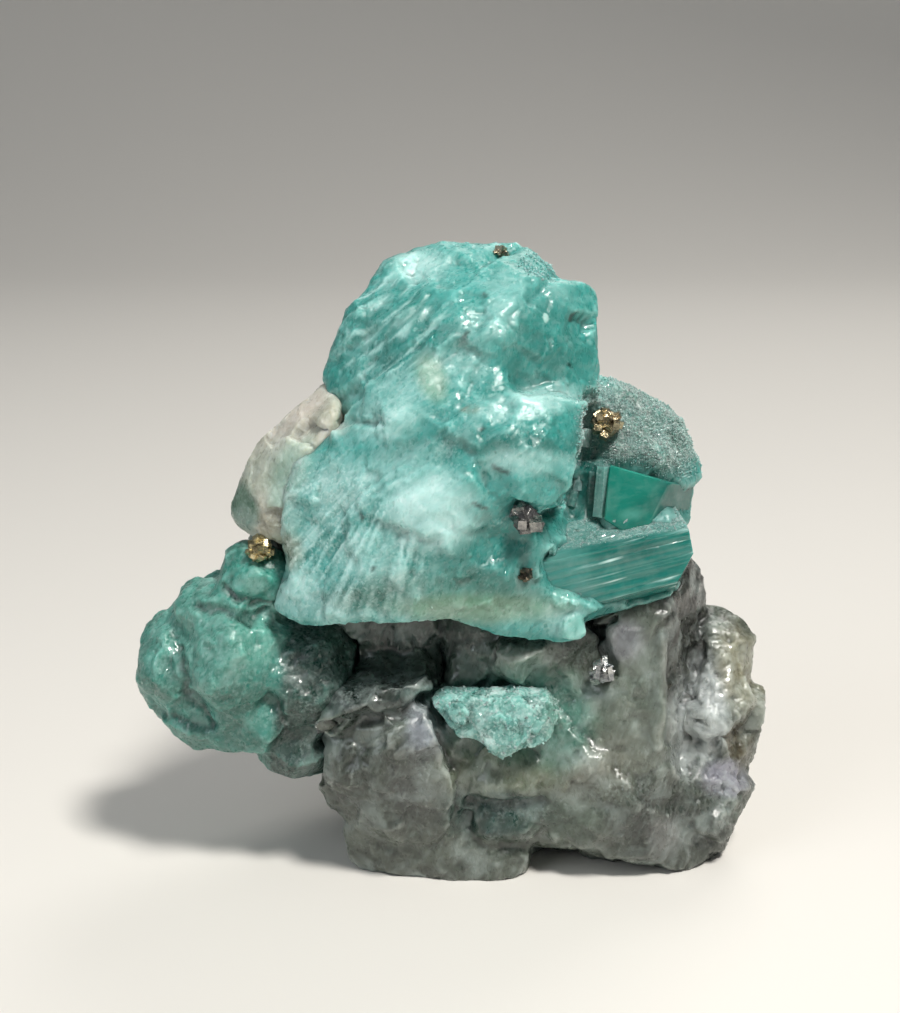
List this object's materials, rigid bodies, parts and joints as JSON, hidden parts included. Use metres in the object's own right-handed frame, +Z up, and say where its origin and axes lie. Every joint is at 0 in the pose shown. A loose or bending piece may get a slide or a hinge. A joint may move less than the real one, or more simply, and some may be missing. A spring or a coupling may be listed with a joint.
{
  "type": "emerald specimen",
  "caption": "Natural emerald specimen: blue-green beryl grown on smoky quartz, with a green lobe, a calcite rind and pyrite knots, standing on a flat break.",
  "frame": {"origin": "centre of the bounding box's base, at the level of the flat break that the specimen rests on", "axes": "+Z up, -Y towards the front that shows the crystals, +X to the right seen from that front"},
  "size_m": [0.0586, 0.0336, 0.0584],
  "materials": {
    "emerald": "translucent blue-green beryl, glossy flat faces and sugary broken ones",
    "quartz": "greasy translucent smoky grey, weathered at the right",
    "calcite": "dull off-white crust",
    "pyrite": "bright metallic crystal faces"
  },
  "bodies": {
    "root": {"emerald_mass": "emerald", "emerald_lobe": "emerald", "emerald_nest": "emerald", "calcite_rind": "calcite", "quartz_matrix": "quartz", "pyrite_left": "pyrite", "pyrite_right": "pyrite", "pyrite_front": "pyrite", "pyrite_hollow": "pyrite", "pyrite_summit": "pyrite", "pyrite_speck": "pyrite"}
  },
  "joints": []
}
